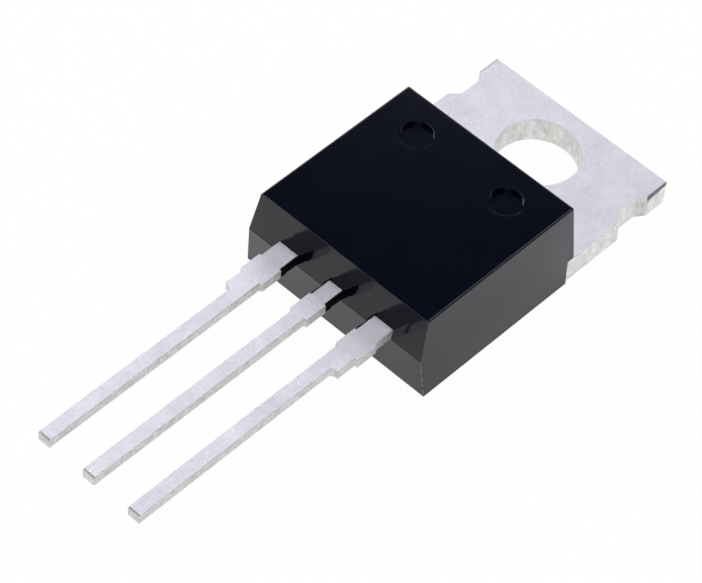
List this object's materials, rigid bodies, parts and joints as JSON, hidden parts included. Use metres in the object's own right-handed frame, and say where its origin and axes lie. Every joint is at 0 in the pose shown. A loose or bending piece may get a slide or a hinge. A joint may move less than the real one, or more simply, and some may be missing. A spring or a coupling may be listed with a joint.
{
  "type": "triac",
  "caption": "Triac in a moulded black body on a metal tab with a mounting hole and straight flat leads, for switching alternating current.",
  "frame": {"origin": "centre of the mounting hole on the tab's back face, which seats on the heat sink", "axes": "+Z through the tab towards the body's face, +Y towards the tab's free end, leads along -Y, +X to the gate lead's side"},
  "size_m": [0.0102, 0.0297, 0.0044],
  "materials": {
    "black_epoxy": "moulded, satin gloss",
    "tinned_copper": "matte tin plating over copper",
    "silicon": "polished",
    "solder": "reflowed",
    "aluminium_wire": "drawn"
  },
  "bodies": {
    "root": {"moulded_body": "black_epoxy", "mounting_tab": "tinned_copper", "mt1_lead": "tinned_copper", "gate_lead": "tinned_copper", "triac_die": "silicon", "die_attach_solder": "solder", "mt1_bond_wire_1": "aluminium_wire", "mt1_bond_wire_2": "aluminium_wire", "gate_bond_wire": "aluminium_wire"}
  },
  "joints": []
}
